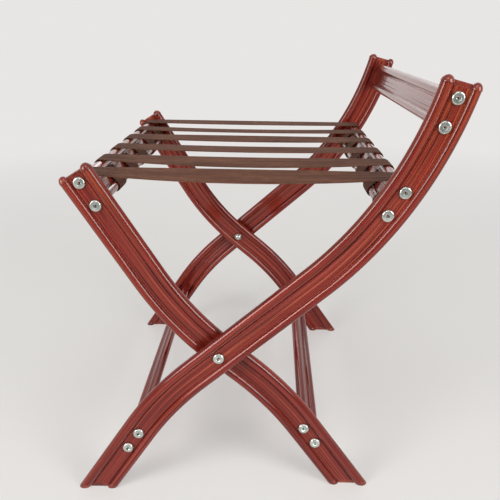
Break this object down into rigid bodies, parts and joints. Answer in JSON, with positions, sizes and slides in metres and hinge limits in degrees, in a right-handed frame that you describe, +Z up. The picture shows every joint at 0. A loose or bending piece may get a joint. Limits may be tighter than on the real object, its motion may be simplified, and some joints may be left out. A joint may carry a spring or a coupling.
{
  "type": "folding luggage bench",
  "caption": "Folding luggage bench: bent wood-grain legs crossing on a pivot, cross rails, woven strap seat and a raised rail as back stop.",
  "frame": {"origin": "middle of the outer box, on the floor", "axes": "+X from the front to the back stop, +Y from the right side to the left, +Z up"},
  "size_m": [0.5152, 0.5146, 0.5864],
  "materials": {
    "wood_grain_leg": "gloss wood-grain film on extruded aluminium",
    "wood_grain_rail": "gloss wood-grain film on extruded aluminium",
    "end_cap": "moulded, red-brown",
    "zinc": "bright zinc plated",
    "nylon": "plain dark nylon",
    "webbing": "ribbed woven webbing"
  },
  "bodies": {
    "outer_frame": {"long_leg_right": "wood_grain_leg", "long_leg_right_top_cap": "end_cap", "long_leg_right_foot_cap": "end_cap", "long_leg_left": "wood_grain_leg", "long_leg_left_top_cap": "end_cap", "long_leg_left_foot_cap": "end_cap", "rear_seat_rail": "wood_grain_rail", "rear_seat_rail_bolt_right_upper": "zinc", "rear_seat_rail_bolt_right_lower": "zinc", "rear_seat_rail_bolt_left_upper": "zinc", "rear_seat_rail_bolt_left_lower": "zinc", "back_rail": "wood_grain_rail", "back_rail_bolt_right_upper": "zinc", "back_rail_bolt_right_lower": "zinc", "back_rail_bolt_left_upper": "zinc", "back_rail_bolt_left_lower": "zinc", "front_stretcher": "wood_grain_rail", "front_stretcher_bolt_right_upper": "zinc", "front_stretcher_bolt_right_lower": "zinc", "front_stretcher_bolt_left_upper": "zinc", "front_stretcher_bolt_left_lower": "zinc", "pivot_bolt_right": "zinc", "pivot_nut_right": "zinc", "pivot_spacer_right": "nylon", "pivot_bolt_left": "zinc", "pivot_nut_left": "zinc", "pivot_spacer_left": "nylon", "strap_1": "webbing", "strap_2": "webbing", "strap_3": "webbing", "strap_4": "webbing", "strap_5": "webbing", "strap_6": "webbing"},
    "inner_frame": {"short_leg_right": "wood_grain_leg", "short_leg_right_top_cap": "end_cap", "short_leg_right_foot_cap": "end_cap", "short_leg_left": "wood_grain_leg", "short_leg_left_top_cap": "end_cap", "short_leg_left_foot_cap": "end_cap", "front_seat_rail": "wood_grain_rail", "front_seat_rail_bolt_right_upper": "zinc", "front_seat_rail_bolt_right_lower": "zinc", "front_seat_rail_bolt_left_upper": "zinc", "front_seat_rail_bolt_left_lower": "zinc", "rear_stretcher": "wood_grain_rail", "rear_stretcher_bolt_right_upper": "zinc", "rear_stretcher_bolt_right_lower": "zinc", "rear_stretcher_bolt_left_upper": "zinc", "rear_stretcher_bolt_left_lower": "zinc"}
  },
  "joints": [
    {"name": "fold", "type": "hinge", "parent": "outer_frame", "child": "inner_frame", "pos_m": [-0.04305, 0, 0.2239], "axis": [0, 1, 0], "range_deg": [0, 75], "deforming": ["strap_1", "strap_2", "strap_3", "strap_4", "strap_5", "strap_6"]}
  ]
}
